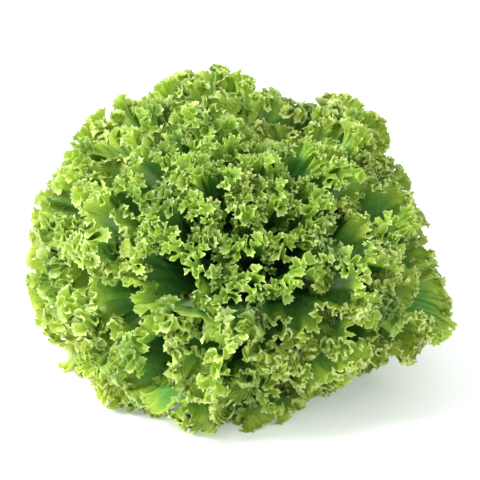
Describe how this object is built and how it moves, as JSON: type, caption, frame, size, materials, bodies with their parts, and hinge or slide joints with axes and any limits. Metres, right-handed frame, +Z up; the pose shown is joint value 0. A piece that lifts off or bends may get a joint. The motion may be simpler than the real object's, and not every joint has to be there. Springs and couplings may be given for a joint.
{
  "type": "lettuce head",
  "caption": "Whole frilly loose-leaved green lettuce head, cut at the stem and lying on its side with its crown facing forward and up.",
  "frame": {"origin": "on the resting surface, under the middle of the head's bounding box", "axes": "+Z up; -Y is where the crown faces, tilted up about 46 degrees; the cut stem is at the back, toward +Y; +X is the viewer's right"},
  "size_m": [0.2982, 0.2368, 0.2011],
  "materials": {
    "outer_leaf": "waxy satin leaf, mid green blade with bright yellow-green frilled margin",
    "frill_leaf": "waxy satin leaf, bright green with yellow-green frilled margin and pale ribs",
    "heart_leaf": "tender satin leaf, light yellow-green",
    "stem_core": "moist pale cream-green stem, cut face lightly browned at the ring"
  },
  "bodies": {
    "root": {"cut_stem": "stem_core", "outer_leaf_01": "outer_leaf", "outer_leaf_02": "outer_leaf", "outer_leaf_03": "outer_leaf", "outer_leaf_04": "outer_leaf", "outer_leaf_05": "outer_leaf", "outer_leaf_06": "outer_leaf", "outer_leaf_07": "outer_leaf", "outer_leaf_08": "outer_leaf", "outer_leaf_09": "outer_leaf", "outer_leaf_10": "outer_leaf", "outer_leaf_11": "outer_leaf", "outer_leaf_12": "outer_leaf", "outer_leaf_13": "outer_leaf", "outer_leaf_14": "outer_leaf", "frill_leaf_01": "frill_leaf", "frill_leaf_02": "frill_leaf", "frill_leaf_03": "frill_leaf", "frill_leaf_04": "frill_leaf", "frill_leaf_05": "frill_leaf", "frill_leaf_06": "frill_leaf", "frill_leaf_07": "frill_leaf", "frill_leaf_08": "frill_leaf", "frill_leaf_09": "frill_leaf", "frill_leaf_10": "frill_leaf", "frill_leaf_11": "frill_leaf", "frill_leaf_12": "frill_leaf", "frill_leaf_13": "frill_leaf", "frill_leaf_14": "frill_leaf", "frill_leaf_15": "frill_leaf", "frill_leaf_16": "frill_leaf", "frill_leaf_17": "frill_leaf", "frill_leaf_18": "frill_leaf", "frill_leaf_19": "frill_leaf", "frill_leaf_20": "frill_leaf", "heart_leaf_01": "heart_leaf", "heart_leaf_02": "heart_leaf", "heart_leaf_03": "heart_leaf", "heart_leaf_04": "heart_leaf", "heart_leaf_05": "heart_leaf", "heart_leaf_06": "heart_leaf", "heart_leaf_07": "heart_leaf", "heart_leaf_08": "heart_leaf", "heart_leaf_09": "heart_leaf", "heart_leaf_10": "heart_leaf", "heart_leaf_11": "heart_leaf", "heart_leaf_12": "heart_leaf"}
  },
  "joints": []
}
